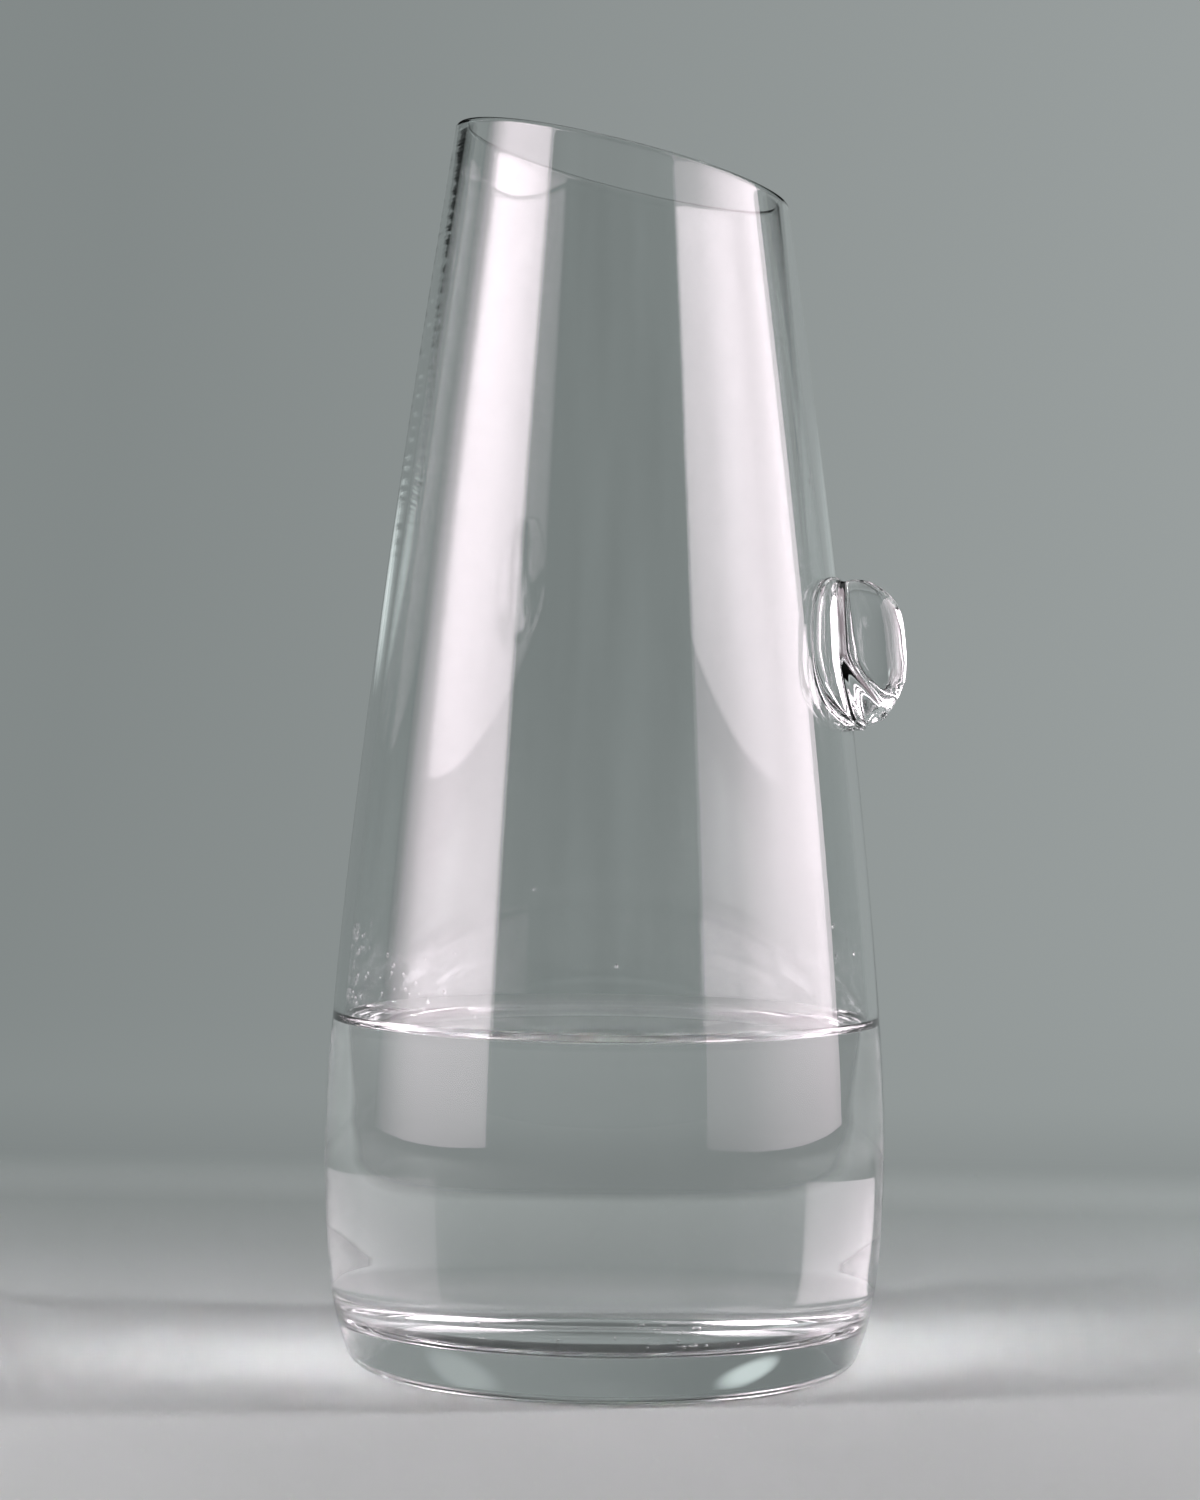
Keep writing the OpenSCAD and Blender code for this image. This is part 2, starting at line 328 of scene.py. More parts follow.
# clear_glass's last colour darkens the thick base: partly the glass's own tone and partly painted shade
M_GLASS = glass(
    "clear_glass", 1.5, GLASS_TINT, [(60, 3, 0.03, False), (9, 620, 0.05, True)], 0.06, (150, 2), (0.73, 0.755, 0.75))
M_WET = glass("wetted_glass", 1.5 / 1.333, (0.985, 0.99, 0.99), [(60, 3, 0.03, False)], 0.02, (90, 2.5))
M_KNOB = glass("knob_glass", 1.5, (0.97, 0.98, 0.98), [(150, 120, 0.1, False), (60, 1300, 0.012, False)], 0.02)
M_WATER = glass("water_surface", 1.333, (0.985, 0.99, 0.99), [(45, 45, 0.02, False)], 0.01)
M_SKIN = see_through("water_skin")
M_FUSED = see_through("fused_seat")

# ---------------------------------------------------------------- knob outline on the wall
KNOB_WALL_R = float(outer_r(KNOB_Z))
KNOB_LEAN = math.atan((outer_r(KNOB_Z - KNOB_H / 2) - outer_r(KNOB_Z + KNOB_H / 2)) / KNOB_H)
SEAT_SHARE, SQUARE_POWER = 0.99, 2.8
SEAT_W, SEAT_H = SEAT_SHARE * PAD_W / 2, SEAT_SHARE * KNOB_H / 2


def rolled(across, along, roll=KNOB_ROLL):
    return across * math.cos(roll) + along * math.sin(roll), along * math.cos(roll) - across * math.sin(roll)


def seat_place(angle, z):
    """Across and along places on the wall, as shares of the seat's outline, which is where seat_reach is 1."""
    turn = (angle + KNOB_TURN + math.pi) % (2 * math.pi) - math.pi
    across, along = turn * KNOB_WALL_R, (z - KNOB_Z) / math.cos(KNOB_LEAN)
    across, along = rolled(across, along, -KNOB_ROLL)
    return across / SEAT_W, along / SEAT_H


def seat_reach(across, along):
    return (np.abs(across) ** SQUARE_POWER + np.abs(along) ** SQUARE_POWER) ** (1 / SQUARE_POWER)


# ---------------------------------------------------------------- the vessel
# Heights in mm where the wall's grid changes: below the knob, above it, and below the lip
KNOB_FROM, KNOB_TO, LIP_FROM = 134, 168, 200


def make_body():
    lathe = Lathe()
    angle = lathe.angle
    ring_in = FOOT_R - RING_W
    lathe.pole(KICK_H)
    for i in range(1, 25):
        s = i / 24
        lathe.ring(ring_in * s, KICK_H * (1 - s * s))
    lathe.ring(ring_in + RING_W / 2, 0)
    for r, z in arc((FOOT_R, HEEL_R), HEEL_R, -math.pi / 2, -HEEL_LEAN, 14):
        lathe.ring(r, z)
    heel_top = HEEL_R - HEEL_R * math.sin(HEEL_LEAN)
    for z in np.concatenate([
        heel_top + (BELLY_Z - heel_top) * np.linspace(0, 1, 41)[1:] ** 1.3,
        np.linspace(BELLY_Z, KNOB_FROM, 59)[1:],
        np.linspace(KNOB_FROM, KNOB_TO, 41)[1:],
        np.linspace(KNOB_TO, LIP_FROM, 22)[1:],
    ]):
        lathe.ring(outer_r(z), z)
    round_r = WALL_T / 2 - LIP_EASE
    centre = slant_point(MOUTH_R - WALL_ACROSS / 2, WALL_T / 2 / math.cos(MOUTH_SLANT), angle)

    def lip(a):
        return centre[0] + round_r * math.cos(a), centre[1] + round_r * math.sin(a)

    for t in np.linspace(0, 1, 49)[1:-1]:
        z = LIP_FROM + t * (lip(NECK_LEAN)[1] - LIP_FROM)
        lathe.ring(outer_r(z) - LIP_EASE * t, z)
    for a in np.linspace(NECK_LEAN, math.pi + NECK_LEAN, 19):
        lathe.ring(*lip(a))
    for t in np.linspace(1, 0, 49)[1:]:
        z = LIP_FROM + t * (lip(math.pi + NECK_LEAN)[1] - LIP_FROM)
        lathe.ring(inner_r(z) + LIP_EASE * t, z)
    for z in np.linspace(LIP_FROM, EDGE_Z, 70)[1:]:
        lathe.ring(inner_r(z), z)
    corner_top = INNER[CORNER_STEPS, 1]
    for z in np.concatenate([np.linspace(EDGE_Z, BELLY_Z, 20)[1:], np.linspace(BELLY_Z, corner_top, 24)[1:]]):
        lathe.ring(inner_r(z), z, 1)
    for r, z in INNER[CORNER_STEPS - 4::-4]:
        lathe.ring(r, z, 1)
    for s in np.linspace(1, 0, 24)[1:-1]:
        lathe.ring(INNER[0, 0] * s, BASE_T, 1)
    lathe.pole(BASE_T, 1)
    verts = np.array(lathe.verts)
    slots = np.array(lathe.slots)
    # the wall's grid is drawn to the knob's seat, so that the fused patch has its exact outline
    a = np.arctan2(verts[:, 1], verts[:, 0])
    r = np.hypot(verts[:, 0], verts[:, 1]) / MM
    z = verts[:, 2] / MM
    on_wall = (np.abs(r - outer_r(z)) < 0.02) & (z > 120) & (z < 185)
    across, along = seat_place(a, z)
    reach = seat_reach(across, along)
    near = on_wall & (np.abs(reach - 1) < 0.034)
    scale = np.where(near, 1 / np.maximum(reach, 1e-6), 1)
    across, along = rolled(across * scale * SEAT_W, along * scale * SEAT_H)
    turn = across / KNOB_WALL_R - KNOB_TURN
    new_z = KNOB_Z + along * math.cos(KNOB_LEAN)
    new_r = outer_r(new_z)
    moved = np.stack([new_r * np.cos(turn) * MM, new_r * np.sin(turn) * MM, new_z * MM], 1)
    verts[near] = moved[near]
    faces = lathe.faces
    reach = np.where(near, 1.0, reach)
    for i, f in enumerate(faces):
        if slots[i] != 0 or not all(on_wall[v] for v in f):
            continue
        if sum(reach[v] for v in f) / len(f) < 0.9999 and all(reach[v] <= 1.0001 for v in f):
            slots[i] = 2
    return new_object("carafe_glass", verts, faces, [M_GLASS, M_WET, M_FUSED], slots)


# ---------------------------------------------------------------- the water
# Bubbles on the floor of the vessel, in mm: place across and away from the camera, and size across
BUBBLES = [
    (15.6, -4, 1.8), (5.6, 13, 0.8), (8.6, -4, 0.8), (9.4, -4, 0.7), (9.1, 11, 0.8), (14.8, -31, 0.8), (15.4, 11, 0.7),
    (16.8, 9, 0.8), (10, -43, 0.7), (17, -42, 0.9), (21, -39, 0.8), (-7, -33, 0.8), (-20, 3, 1.1), (-22, 5, 0.7),
    (27, -37, 0.8), (13.6, -8, 0.6), (-13, 20, 0.6), (24, 14, 0.7), (-31, 5, 0.6), (3, -24, 0.6),
]

# The water between a bubble and the floor, in mm
BUBBLE_GAP = 0.08


def add_bubbles(lathe):
    """Round hollows in the water, with their skin facing into the air that they hold."""
    around, rows = 20, 12
    for x, y, wide in BUBBLES:
        r = wide / 2
        middle = BASE_T + CLEARANCE + BUBBLE_GAP + r
        start = len(lathe.verts)
        lathe.verts.append((x * MM, y * MM, (middle - r) * MM))
        for i in range(1, rows):
            a = math.pi * i / rows
            for j in range(around):
                b = 2 * math.pi * j / around
                lathe.verts.append((
                    (x + r * math.sin(a) * math.cos(b)) * MM, (y + r * math.sin(a) * math.sin(b)) * MM,
                    (middle - r * math.cos(a)) * MM))
        lathe.verts.append((x * MM, y * MM, (middle + r) * MM))
        end = len(lathe.verts) - 1
        for j in range(around):
            k = (j + 1) % around
            lathe.faces.append((start, start + 1 + j, start + 1 + k))
            for i in range(rows - 2):
                low, high = start + 1 + i * around, start + 1 + (i + 1) * around
                lathe.faces.append((low + j, high + j, high + k, low + k))
            low = start + 1 + (rows - 2) * around
            lathe.faces.append((low + j, end, low + k))
            lathe.slots += [0] * rows


def make_water():
    lathe = Lathe()
    skin = inner_curve(WALL_T + CLEARANCE, BASE_T + CLEARANCE)
    edge_r = float(np.interp(EDGE_Z, skin[:, 1], skin[:, 0]))
    reach = 4 * MENISCUS_W
    least = math.exp(-reach / MENISCUS_W)
    lathe.pole(BASE_T + CLEARANCE, 1)
    for s in np.linspace(0, 1, 24)[1:]:
        lathe.ring(skin[0, 0] * s, BASE_T + CLEARANCE, 1)
    for r, z in skin[4:CORNER_STEPS + 1:4]:
        lathe.ring(r, z, 1)
    corner_top = skin[CORNER_STEPS, 1]
    for z in np.concatenate([np.linspace(corner_top, BELLY_Z, 24)[1:], np.linspace(BELLY_Z, EDGE_Z, 20)[1:]]):
        lathe.ring(np.interp(z, skin[:, 1], skin[:, 0]), z, 1)
    for s in np.linspace(0, 1, 33)[1:]:
        d = reach * s ** 2
        lathe.ring(edge_r - d, WATER_Z + MENISCUS_H * (math.exp(-d / MENISCUS_W) - least) / (1 - least), 0)
    for s in np.linspace(1, 0, 24)[1:-1]:
        lathe.ring((edge_r - reach) * s, WATER_Z, 0)
    lathe.pole(WATER_Z, 0)
    add_bubbles(lathe)
    return new_object("carafe_water", lathe.verts, lathe.faces, [M_WATER, M_SKIN], lathe.slots)


# Taken off the radius and again along the wall's normal, so droplets are about twice this off the wall, in mm
DROPLET_GAP = 0.03


def make_droplets():
    """Splashes that cling to the inside of the wall above the water: small domes, drawn out upwards."""
    dice = np.random.default_rng(7)
    around, rows = 16, 5
    verts, faces = [], []
    places = [(math.radians(dice.normal(181, 7)), dice.uniform(76.5, 93), dice.uniform(0.3, 0.85)) for _ in range(26)]
    places += [(math.radians(dice.normal(222, 13)), dice.uniform(76, 90), dice.uniform(0.2, 0.45)) for _ in range(22)]
    places += [(math.radians(dice.normal(-4, 4)), dice.uniform(186, 193), dice.uniform(0.25, 0.6)) for _ in range(7)]
    places += [(math.radians(dice.uniform(0, 360)), dice.uniform(77, 100), dice.uniform(0.2, 0.5)) for _ in range(20)]
    for angle, z, wide in places:
        r = float(inner_r(z)) - DROPLET_GAP
        lean = math.atan((float(inner_r(z - 1)) - float(inner_r(z + 1))) / 2)
        out = Vector((math.cos(angle), math.sin(angle), 0))
        across = Vector((-math.sin(angle), math.cos(angle), 0))
        along = Vector((-math.cos(angle) * math.sin(lean), -math.sin(angle) * math.sin(lean), math.cos(lean)))
        inward = -(out * math.cos(lean) + Vector((0, 0, math.sin(lean))))
        foot = out * r + Vector((0, 0, z)) + inward * DROPLET_GAP
        start = len(verts)
        verts.append(foot * MM)
        for i in range(rows):
            rise = math.pi / 2 * i / rows
            for j in range(around):
                a = 2 * math.pi * j / around
                long = 1.45 if math.sin(a) > 0 else 1
                spot = foot + across * (wide * math.cos(rise) * math.cos(a))
                spot = spot + along * (wide * long * math.cos(rise) * math.sin(a))
                verts.append((spot + inward * (0.5 * wide * math.sin(rise))) * MM)
        verts.append((foot + inward * (0.5 * wide)) * MM)
        for j in range(around):
            k = (j + 1) % around
            faces.append((start, start + 1 + j, start + 1 + k))
            for i in range(rows - 1):
                low, high = start + 1 + i * around, start + 1 + (i + 1) * around
                faces.append((low + j, high + j, high + k, low + k))
            faces.append((start + 1 + (rows - 1) * around + j, len(verts) - 1, start + 1 + (rows - 1) * around + k))
    return new_object("wall_droplets", verts, faces, [M_WATER])


# ---------------------------------------------------------------- the knob
def spline(points, steps):
    points = np.asarray(points, float)
    padded = np.vstack([points[:1], points, points[-1:]])
    out = []
    for i in range(len(points) - 1):
        a, b, c, d = padded[i:i + 4]
        for t in np.arange(steps) / steps:
            bend, twist = 2 * a - 5 * b + 4 * c - d, 3 * b - a - 3 * c + d
            out.append((2 * b + (c - a) * t + bend * t * t + twist * t ** 3) / 2)
    out.append(points[-1])
    return np.array(out)


def knob_point(out, across, along):
    across, along = rolled(across, along)
    flatness = min(max((out - PAD_T) / (KNOB_OUT - PAD_T), 0), 1)
    foot_z = KNOB_Z + along * math.cos(KNOB_LEAN)
    wall = float(outer_r(foot_z))
    height = foot_z + out * math.sin(KNOB_LEAN)
    bent_reach = wall + out * math.cos(KNOB_LEAN)
    flat_reach = KNOB_WALL_R - along * math.sin(KNOB_LEAN) + out * math.cos(KNOB_LEAN)
    turn = across / KNOB_WALL_R
    x = bent_reach * math.cos(turn) * (1 - flatness) + flat_reach * flatness
    y = bent_reach * math.sin(turn) * (1 - flatness) + across * flatness
    c, s = math.cos(-KNOB_TURN), math.sin(-KNOB_TURN)
    return (x * c - y * s) * MM, (x * s + y * c) * MM, height * MM


# From the seat inwards over the pad, and from the tab's root to its tip: distance out, half width, and how much of
# the crease's run the station takes at the bottom
PAD_STATIONS = [
    (0, SEAT_SHARE), (0.33, 1), (0.73, 0.99), (1, 0.95), (1.03, 0.888),
    (0.97, 0.787), (0.9, 0.646), (0.93, 0.517), (1.03, 0.461),
]
TAB_STATIONS = [
    (0.02, 1.39, 0.45), (0.053, 1.285, 0.9), (0.114, 1.107, 1), (0.244, 1.07, 0.95), (0.488, 1.02, 0.7),
    (0.65, 0.946, 0.5), (0.772, 0.82, 0.33), (0.87, 0.66, 0.18), (0.943, 0.446, 0.08), (0.984, 0.214, 0.02),
    (1, 0, 0),
]
# Half height of the knob by distance out, as shares of its own half height and reach
KNOB_SIDE = [
    (0, SEAT_SHARE), (0.087, 1), (0.174, 0.985), (0.275, 1), (0.45, 0.975), (0.572, 0.926), (0.754, 0.8), (0.862, 0.69),
    (0.92, 0.61), (0.971, 0.455), (0.993, 0.22), (1, 0),
]


def knob_stations():
    rows = [(PAD_T * out, PAD_W / 2 * wide, 0, PAD_SAG * min(out, 1)) for out, wide in PAD_STATIONS]
    rows += [
        (PAD_T + (KNOB_OUT - PAD_T) * out, TAB_T / 2 * wide, CREASE_RUN * held, 0)
        for out, wide, held in TAB_STATIONS
    ]
    return spline(rows, 10)


KNOB_SIDE_CURVE = spline(KNOB_SIDE, 8)


def half_height(out):
    return KNOB_H / 2 * float(np.interp(out / KNOB_OUT, KNOB_SIDE_CURVE[:, 0], KNOB_SIDE_CURVE[:, 1]))


def section_point(row, a):
    out, wide, run, sag = row
    c, s = math.cos(a), math.sin(a)
    reach = 1 / float(seat_reach(c, s))
    high = half_height(out + run if s < 0 else out)
    fall = min(max(-high * reach * s / (KNOB_H / 2), 0), 1)
    return out + (run + sag) * fall * fall * (3 - 2 * fall), wide * reach * c, high * reach * s


# How far the knob's seat is off the wall, in mm
SEAT_OUT = 0.02


def make_knob():
    section = knob_stations()
    n, seat_rings = 192, 12
    verts, faces, slots = [], [], []
    verts.append(knob_point(SEAT_OUT, 0, 0))
    for i in range(1, seat_rings):
        for j in range(n):
            a = 2 * math.pi * j / n
            c, s = math.cos(a), math.sin(a)
            reach = i / seat_rings / float(seat_reach(c, s))
            verts.append(knob_point(SEAT_OUT, SEAT_W * reach * c, SEAT_H * reach * s))
    for row in section[:-1]:
        row = (max(row[0], SEAT_OUT), *row[1:])
        for j in range(n):
            verts.append(knob_point(*section_point(row, 2 * math.pi * j / n)))
    verts.append(knob_point(*section_point(section[-1], 0)))
    rings = (len(verts) - 2) // n
    for j in range(n):
        faces.append((0, 1 + (j + 1) % n, 1 + j))
        slots.append(1)
    for i in range(rings - 1):
        for j in range(n):
            k = (j + 1) % n
            low, high = 1 + i * n, 1 + (i + 1) * n
            faces.append((low + j, low + k, high + k, high + j))
            slots.append(1 if i < seat_rings - 1 else 0)
    low = 1 + (rings - 1) * n
    for j in range(n):
        faces.append((low + j, low + (j + 1) % n, len(verts) - 1))
        slots.append(0)
    return new_object("thumb_knob_glass", verts, faces, [M_KNOB, M_FUSED], slots)


body = make_body()
water = make_water()
knob = make_knob()
for piece, node, slot in (
    (body, "carafe_body", "clear_glass"), (knob, "thumb_knob", "knob_glass"), (water, "water", "water"),
):
    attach(piece, "root")
    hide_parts(node)
droplets = make_droplets()
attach(droplets, "root")

# ---------------------------------------------------------------- the studio
SWEEP_TINT = (0.262, 0.285, 0.283)


def bounced(nodes, links):
    """1 for a ray that was reflected or scattered on its way, and 0 for one that came straight or only refracted."""
    path = nodes.new("ShaderNodeLightPath")
    depth = times(nodes, links, path.outputs["Glossy Depth"], path.outputs["Diffuse Depth"], "ADD")
    return times(nodes, links, depth, 1, "MINIMUM")


def emission_for_eyes(mat, colour_socket):
    """The backdrop shows its own tone to the camera and in the glass, and is a plain diffuse surface to all else."""
    nodes, links = mat.node_tree.nodes, mat.node_tree.links
    shader = nodes["Principled BSDF"]
    glow = nodes.new("ShaderNodeEmission")
    glow.inputs["Strength"].default_value = 1
    links.new(colour_socket, glow.inputs["Color"])
    path = nodes.new("ShaderNodeLightPath")
    eyes = times(nodes, links, path.outputs["Is Camera Ray"], path.outputs["Is Glossy Ray"], "MAXIMUM")
    eyes = times(nodes, links, eyes, path.outputs["Is Transmission Ray"], "MAXIMUM")
    mix = nodes.new("ShaderNodeMixShader")
    links.new(eyes, mix.inputs["Fac"])
    links.new(shader.outputs["BSDF"], mix.inputs[1])
    links.new(glow.outputs["Emission"], mix.inputs[2])
    return mix


# Light cards on the backdrop: middle across and up and half sizes in metres, and gain in the backdrop's level
FOOT_CARDS = ((-0.6, 0.285, 0.13, 0.05, 2.6), (0.47, 0.29, 0.14, 0.08, 0.5))


def foot_cards(nodes, links, split):
    """Two light cards on the backdrop, which the thick foot bends into view at its right and left, and the shade along
    the backdrop's lower edge, which the water shows. The camera doesn't see them past the glass. The level that comes
    back multiplies the backdrop's own."""
    x, z = split.outputs["X"], split.outputs["Z"]
    change = times(nodes, links, ranged(nodes, links, split.outputs["Y"], 0.45, 0.37), -0.13)
    for middle, height, half_x, half_z, gain in FOOT_CARDS:
        dx = times(nodes, links, times(nodes, links, x, middle, "SUBTRACT"), 1 / half_x)
        dz = times(nodes, links, times(nodes, links, z, height, "SUBTRACT"), 1 / half_z)
        away = times(nodes, links, times(nodes, links, dx, dx), times(nodes, links, dz, dz), "ADD")
        card = ranged(nodes, links, away, 2.2, 0.2)
        change = times(nodes, links, times(nodes, links, card, gain), change, "ADD")
    path = nodes.new("ShaderNodeLightPath")
    through = times(nodes, links, 1, path.outputs["Is Camera Ray"], "SUBTRACT")
    return times(nodes, links, times(nodes, links, change, through), 1, "ADD")


# The sheet of table and backdrop, in metres: half its width, where the table starts to rise, the radius of the rise,
# its height, and how far it lies under the vessel
SWEEP_HALF, TABLE_END, RISE_R, SWEEP_TOP, SWEEP_DROP = 2.2, 0.9, 0.5, 2.2, 0.00005


def make_sweep():
    """Table and backdrop in one sheet. The lamps light the table, and past its far edge is the backdrop's tone."""
    mat, nodes, links, shader = principled("studio_sweep")
    shader.inputs["Roughness"].default_value = 0.9
    shader.inputs["Specular IOR Level"].default_value = 0.1
    place = nodes.new("ShaderNodeTexCoord")
    split = nodes.new("ShaderNodeSeparateXYZ")
    links.new(place.outputs["Object"], split.inputs[0])
    # painted light on the backdrop: its glow is brighter to the right and upwards
    across = ranged(nodes, links, split.outputs["X"], -0.35, 0.35, curve="LINEAR")
    ramp = nodes.new("ShaderNodeValToRGB")
    ramp.color_ramp.elements[0].color = (0.228, 0.252, 0.250, 1)
    ramp.color_ramp.elements[1].color = (0.325, 0.352, 0.350, 1)
    links.new(across, ramp.inputs["Fac"])
    rise = ranged(nodes, links, split.outputs["Y"], 0.25, 0.6, 0.85)
    darker = nodes.new("ShaderNodeMix")
    darker.data_type = "RGBA"
    darker.blend_type = "MULTIPLY"
    darker.inputs["Factor"].default_value = 1
    links.new(ramp.outputs["Color"], darker.inputs["A"])
    # in reflections the lit part of the backdrop ends above the picture, and the room over it is dark
    top = ranged(nodes, links, split.outputs["Z"], 0.605, 0.66, 1, 0.06)
    unlit = times(nodes, links, times(nodes, links, 1, top, "SUBTRACT"), bounced(nodes, links))
    lit = times(nodes, links, 1, unlit, "SUBTRACT")
    level = times(nodes, links, rise, lit)
    links.new(times(nodes, links, level, foot_cards(nodes, links, split)), darker.inputs["B"])
    mix = emission_for_eyes(mat, darker.outputs["Result"])
    depth = ranged(nodes, links, split.outputs["Y"], 0.27, 0.38, curve="SMOOTHERSTEP")
    # the water brings the table's far edge nearer, and shows it sharper than the open view past the glass
    near = ranged(nodes, links, split.outputs["Y"], 0.334, 0.352)
    path = nodes.new("ShaderNodeLightPath")
    change = times(nodes, links, near, depth, "SUBTRACT")
    change = times(nodes, links, change, path.outputs["Is Transmission Ray"])
    beyond = times(nodes, links, depth, change, "ADD")
    # painted shade: the table's colour is darkest between the vessel and its far edge, where less light reaches it
    away = ranged(nodes, links, split.outputs["Y"], -0.05, 0.35, curve="LINEAR")
    tone = nodes.new("ShaderNodeValToRGB")
    stops = (
        (0, (0.5, 0.504, 0.508)), (1, (0.64, 0.69, 0.684)),
        (0.55, (0.415, 0.44, 0.438)), (0.75, (0.42, 0.455, 0.451)),
    )
    for i, (at, colour) in enumerate(stops):
        stop = tone.color_ramp.elements[i] if i < 2 else tone.color_ramp.elements.new(at)
        stop.position = at
        stop.color = (*colour, 1)
    links.new(away, tone.inputs["Fac"])
    links.new(tone.outputs["Color"], shader.inputs["Base Color"])
    # in other views the table keeps the backdrop's tone where the lamps no longer reach it
    reach = nodes.new("ShaderNodeVectorMath")
    reach.operation = "LENGTH"
    links.new(place.outputs["Object"], reach.inputs[0])
    edge = ranged(nodes, links, reach.outputs["Value"], 0.48, 0.85)
    straight = times(nodes, links, 1, bounced(nodes, links), "SUBTRACT")
    far = times(nodes, links, edge, straight)
    both = nodes.new("ShaderNodeMixShader")
    links.new(times(nodes, links, beyond, far, "MAXIMUM"), both.inputs["Fac"])
    links.new(shader.outputs["BSDF"], both.inputs[1])
    links.new(mix.outputs["Shader"], both.inputs[2])
    links.new(both.outputs["Shader"], nodes["Material Output"].inputs["Surface"])
    profile = [(-2.0, 0.0), (-1.0, 0.0), (0.0, 0.0), (TABLE_END, 0.0)]
    for i in range(1, 13):
        a = math.pi / 2 * i / 12
        profile.append((TABLE_END + RISE_R * math.sin(a), RISE_R - RISE_R * math.cos(a)))
    profile.append((TABLE_END + RISE_R, SWEEP_TOP))
    verts, faces = [], []
    for y, z in profile:
        verts += [(-SWEEP_HALF, y, z - SWEEP_DROP), (SWEEP_HALF, y, z - SWEEP_DROP)]
    for i in range(len(profile) - 1):
        faces.append((2 * i, 2 * i + 1, 2 * i + 3, 2 * i + 2))
    sweep = new_object("studio_sweep", verts, faces, [mat])


def table_ramp(nodes, links, value, points, top):
    """A colour ramp through (value, level) points, with levels given as shares of top."""
    low, high = points[0][0], points[-1][0]
    span = ranged(nodes, links, value, low, high, curve="LINEAR")
    ramp = nodes.new("ShaderNodeValToRGB")
    stops = ramp.color_ramp.elements
    for i, (at, level) in enumerate(points):
        stop = stops[i] if i < 2 else stops.new((at - low) / (high - low))
        stop.position = (at - low) / (high - low)
        stop.color = (level / top, level / top, level / top, 1)
    links.new(span, ramp.inputs["Fac"])
    return ramp.outputs["Color"]


def panel_mesh(name, side, distance, start, end, low, high, mat):
    middle = math.radians((start + end) / 2) * side
    half = distance * math.tan(math.radians((end - start) / 2))
    out = Vector((math.sin(middle), -math.cos(middle), 0))
    along = Vector((out.y, -out.x, 0))
    verts = [out * distance - along * half, out * distance + along * half]
    verts = [v + Vector((0, 0, h)) for h in (low, high) for v in verts]
    panel = new_object(name, verts, [(0, 1, 3, 2)], [mat], smooth=False)
    if panel.data.polygons[0].normal.dot(-out) < 0:
        panel.data.flip_normals()
    panel.visible_shadow = False
    return panel


def one_sided(mat, glow, clear_for=0):
    """Light from the front only, and nothing at all from behind or for the rays that clear_for names."""
    nodes, links = mat.node_tree.nodes, mat.node_tree.links
    clear = nodes.new("ShaderNodeBsdfTransparent")
    facing = nodes.new("ShaderNodeNewGeometry")
    mix = nodes.new("ShaderNodeMixShader")
    links.new(times(nodes, links, facing.outputs["Backfacing"], clear_for, "MAXIMUM"), mix.inputs["Fac"])
    links.new(glow.outputs["Emission"], mix.inputs[1])
    links.new(clear.outputs["BSDF"], mix.inputs[2])
    links.new(mix.outputs["Shader"], nodes["Material Output"].inputs["Surface"])


def emitter(name):
    mat = bpy.data.materials.new(name)
    mat.use_nodes = True
    nodes = mat.node_tree.nodes
    nodes.remove(nodes["Principled BSDF"])
    return mat, nodes, mat.node_tree.links, nodes.new("ShaderNodeEmission")


# A softbox's colour and the level at the top of its ramps
BOX_TINT, BOX_LEVEL = (1.0, 0.865, 0.935), 1.2


def make_panel(name, side, distance, low, high, strength, across, upward):
    """The face of a softbox as the glass shows it. across gives its levels over degrees round from the camera's
    direction, and upward its levels over height in metres. The floor's light comes from make_core."""
    mat, nodes, links, glow = emitter(name)
    place = nodes.new("ShaderNodeTexCoord")
    split = nodes.new("ShaderNodeSeparateXYZ")
    links.new(place.outputs["Object"], split.inputs[0])
    sideways = times(nodes, links, split.outputs["X"], side)
    forwards = times(nodes, links, split.outputs["Y"], -1)
    angle = times(nodes, links, times(nodes, links, sideways, forwards, "ARCTAN2"), 180 / math.pi)
    round_level = table_ramp(nodes, links, angle, across, BOX_LEVEL)
    level = times(nodes, links, round_level, table_ramp(nodes, links, split.outputs["Z"], upward, 1))
    # its light shows in reflections, and straight behind the glass in another view it has the backdrop's tone
    reflected = bounced(nodes, links)
    tint = choose(nodes, links, reflected, (*SWEEP_TINT, 1), (*BOX_TINT, 1))
    power = times(nodes, links, level, strength * BOX_LEVEL)
    power = times(nodes, links, times(nodes, links, power, -1, "ADD"), reflected)
    links.new(tint, glow.inputs["Color"])
    links.new(times(nodes, links, power, 1, "ADD"), glow.inputs["Strength"])
    one_sided(mat, glow)
    panel = panel_mesh(name, side, distance, across[0][0], across[-1][0], low, high, mat)
    panel.visible_diffuse = False


def make_core(name, side, middle, distance=0.58):
    """The bright middle of a softbox, which lights the table past the glass, and focused through it."""
    mat, _, _, glow = emitter(name + "_direct")
    glow.inputs["Strength"].default_value = 35
    one_sided(mat, glow)
    direct = panel_mesh(name + "_direct", side, distance, middle - 4.5, middle + 4.5, 0.1, 0.5, mat)
    direct.visible_camera = direct.visible_glossy = direct.visible_transmission = False
    mat, nodes, links, glow = emitter(name + "_focused")
    path = nodes.new("ShaderNodeLightPath")
    glow.inputs["Strength"].default_value = 190
    one_sided(mat, glow, times(nodes, links, path.outputs["Diffuse Depth"], 0.5, "LESS_THAN"))
    mat.cycles.emission_sampling = "NONE"
    focused = panel_mesh(name + "_focused", side, distance, middle - 5.5, middle + 5.5, 0.2, 0.42, mat)
    focused.visible_camera = focused.visible_diffuse = False


make_sweep()
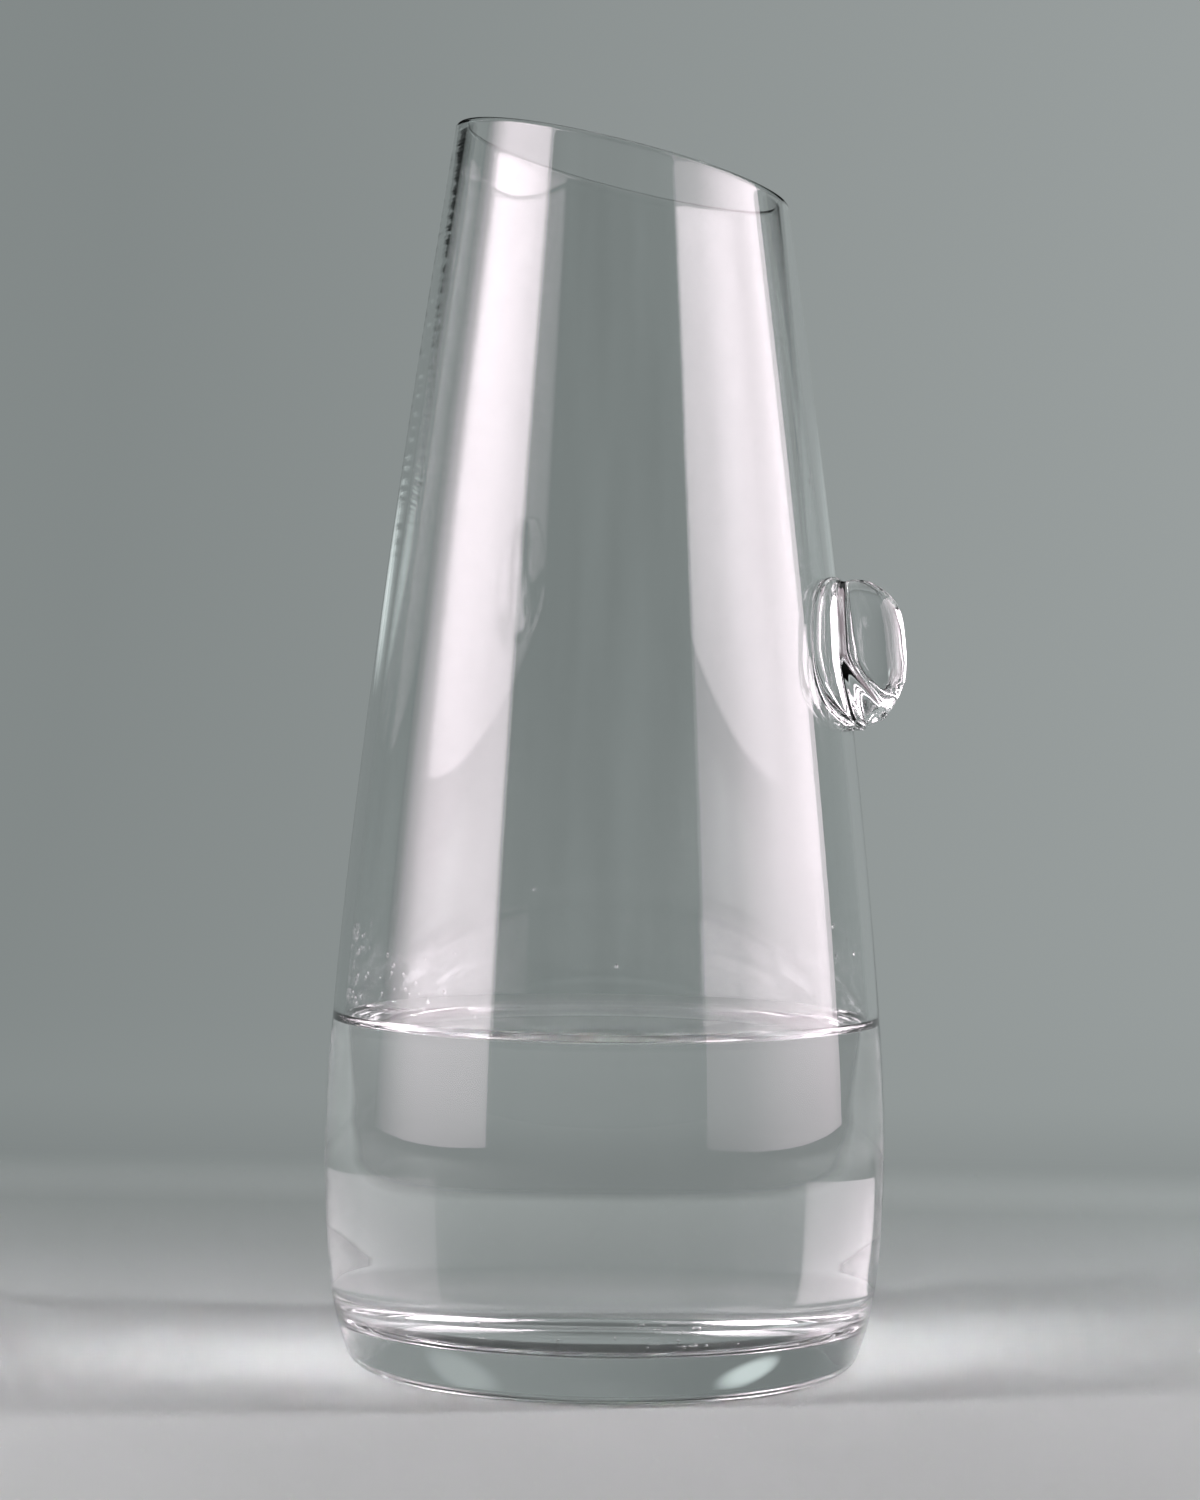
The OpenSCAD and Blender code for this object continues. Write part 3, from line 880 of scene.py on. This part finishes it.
# The softboxes' levels: over degrees round from the camera's direction, and over height in metres
LEFT = [
    (44.4, 0), (44.9, 0.75), (46.5, 1.02), (54, 1.08), (66, 1.1), (76, 1.06), (84, 0.85), (92, 0.45), (102, 0),
]
RIGHT = [(41.5, 0.32), (46, 0.38), (58, 0.5), (70, 0.85), (80, 1.05), (90, 1.1), (104, 1.1), (110, 0.8)]
UPWARD = [(0.008, 0.5), (0.06, 0.68), (0.18, 1), (0.34, 1), (0.9, 1)]
# Their distance from the vessel and their lower and upper edges in metres, and their strength
BOX = (0.6, 0.008, 0.9, 5.8)
make_panel("softbox_left", -1, *BOX, LEFT, UPWARD)
make_panel("softbox_right", 1, *BOX, RIGHT, UPWARD)
make_core("core_left", -1, 66)
make_core("core_right", 1, 90)

world = bpy.data.worlds.new("studio")
bpy.context.scene.world = world
world.use_nodes = True
nodes, links = world.node_tree.nodes, world.node_tree.links
background = nodes["Background"]
place = nodes.new("ShaderNodeTexCoord")
split = nodes.new("ShaderNodeSeparateXYZ")
links.new(place.outputs["Generated"], split.inputs[0])
# in reflections the room is dark behind the camera, and lighter away from it and upwards
rise = times(nodes, links, split.outputs["Z"], 1.2)
depth = ranged(nodes, links, times(nodes, links, split.outputs["Y"], rise, "ADD"), -0.5, 1.5, curve="LINEAR")
room = nodes.new("ShaderNodeValToRGB")
room.color_ramp.elements[0].color = (0.015, 0.016, 0.016, 1)
room.color_ramp.elements[1].color = (0.62, 0.66, 0.655, 1)
room.color_ramp.elements.new(0.5).color = (*SWEEP_TINT, 1)
links.new(depth, room.inputs["Fac"])
path = nodes.new("ShaderNodeLightPath")
seen = choose(nodes, links, bounced(nodes, links), (*SWEEP_TINT, 1), room.outputs["Color"])
filled = choose(nodes, links, path.outputs["Is Diffuse Ray"], seen, (0.08, 0.08, 0.08, 1))
links.new(filled, background.inputs["Color"])

# ---------------------------------------------------------------- the camera
DISTANCE, CAMERA_Z, SIDESTEP = 0.757, 0.1326, 0.00204
LENS, SENSOR = 84.4, 36
SWING, PITCH, ROLL = math.radians(2), math.radians(0.09), math.radians(0.707)
camera_data = bpy.data.cameras.new("camera")
camera = bpy.data.objects.new("camera", camera_data)
bpy.context.scene.collection.objects.link(camera)
camera_data.sensor_fit = "AUTO"
camera_data.sensor_width = SENSOR
camera_data.lens = LENS
camera_data.clip_start = 0.01
turn = Matrix.Rotation(SWING, 4, "Z")
right = turn @ Vector((1, 0, 0))
spot = turn @ Vector((0, -DISTANCE, CAMERA_Z)) - right * SIDESTEP
camera.matrix_world = (
    Matrix.Translation(spot) @ turn @ Matrix.Rotation(math.pi / 2 - PITCH, 4, "X") @ Matrix.Rotation(ROLL, 4, "Z")
)
bpy.context.scene.camera = camera

scene = bpy.context.scene
scene.view_settings.view_transform = "Standard"
scene.cycles.max_bounces = 32
scene.cycles.transmission_bounces = 32
scene.cycles.glossy_bounces = 12
scene.cycles.diffuse_bounces = 3
scene.cycles.transparent_max_bounces = 32
scene.cycles.sample_clamp_indirect = 0
